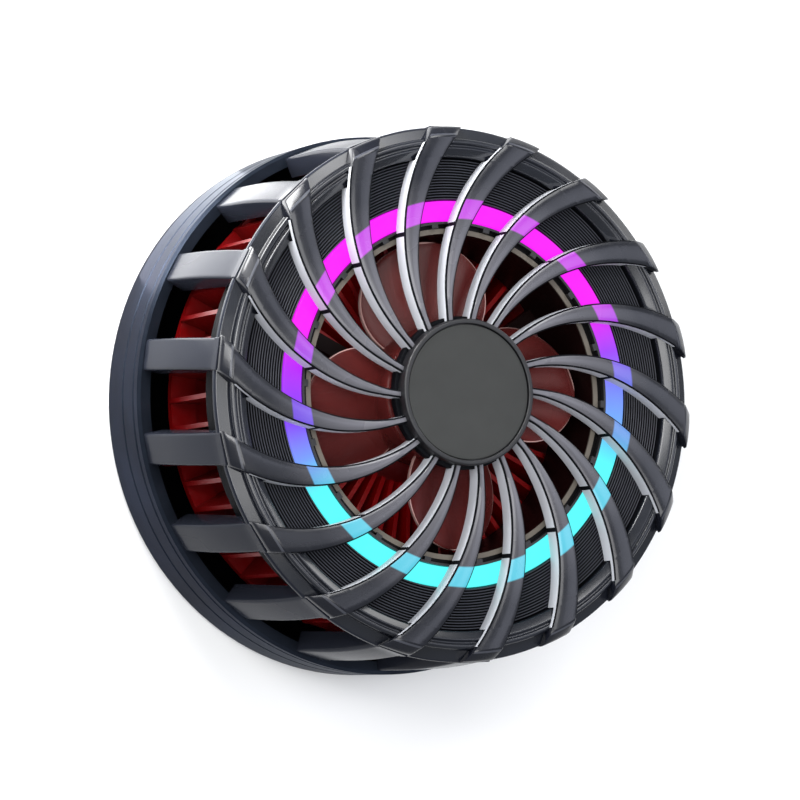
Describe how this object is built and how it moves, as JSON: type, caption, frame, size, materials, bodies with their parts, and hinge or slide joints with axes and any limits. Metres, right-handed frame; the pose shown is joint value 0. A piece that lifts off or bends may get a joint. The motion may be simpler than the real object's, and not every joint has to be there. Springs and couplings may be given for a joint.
{
  "type": "phone cooling fan",
  "caption": "Round magnetic phone cooler: smoky cage of swept spokes over a paddle fan, a lit ring, red heat-sink fins and a gunmetal base with a flat contact face.",
  "frame": {"origin": "on the fan's axis, in the plane of the rear contact face that lies on the phone", "axes": "+Z along the fan's axis from the contact face to the intake spokes; +X towards the supply socket; +Y upwards in the picture"},
  "size_m": [0.072, 0.072, 0.0332],
  "materials": {
    "smoke_plastic": "smoky translucent, polished",
    "gunmetal": "satin gunmetal",
    "red_anodised": "red anodised",
    "red_clear": "translucent red",
    "frame_plastic": "fine texture",
    "black_plastic": "satin black",
    "cap_grey": "matt dark grey",
    "light_plastic": "milky light guide",
    "silicone": "matt silicone",
    "bare_aluminium": "milled",
    "white_ceramic": "sintered",
    "semiconductor": "sawn",
    "steel": "plated steel",
    "magnet_alloy": "nickel plated magnet",
    "rotor_magnet_black": "bonded magnet",
    "board_green": "solder mask",
    "chip_black": "moulded",
    "led_white": "clear resin",
    "copper": "enamelled copper wire",
    "bronze": "sintered bronze",
    "wire_black": "lead insulation",
    "wire_red": "lead insulation",
    "foam": "closed-cell foam",
    "nylon": "moulded"
  },
  "bodies": {
    "housing": {"thermal_pad": "silicone", "magnet_cover": "silicone", "magnets": "magnet_alloy", "shunt_ring": "steel", "base_cup": "gunmetal", "cold_plate": "bare_aluminium", "clamp_screws": "steel", "gasket": "foam", "peltier_cold_face": "white_ceramic", "peltier_legs": "semiconductor", "peltier_hot_face": "white_ceramic", "peltier_leads": "wire_red", "heat_sink": "red_anodised", "sink_screws": "steel", "control_board": "board_green", "board_chips": "chip_black", "board_screws": "steel", "usb_shell": "steel", "usb_tongue": "black_plastic", "led_lead": "wire_black", "fan_frame": "frame_plastic", "frame_screws": "steel", "motor_board": "board_green", "thrust_pad": "nylon", "bearing_sleeve": "bronze", "stator_core": "steel", "stator_coils": "copper", "fan_lead": "wire_black", "side_ribs": "smoke_plastic", "case_screws": "steel", "rim_ring": "smoke_plastic", "led_board": "board_green", "led_chips": "led_white", "ridged_ring": "black_plastic", "light_ring": "light_plastic", "clip_ring": "black_plastic", "front_grille": "smoke_plastic", "hub_bezel": "black_plastic", "hub_cap": "cap_grey"},
    "rotor": {"fan_impeller": "red_clear", "rotor_yoke": "steel", "rotor_magnet": "rotor_magnet_black", "shaft": "steel"}
  },
  "joints": [
    {"name": "fan_spin", "type": "hinge", "parent": "housing", "child": "rotor", "pos_m": [0, 0, 0.0225], "axis": [0, 0, 1], "continuous": true}
  ]
}
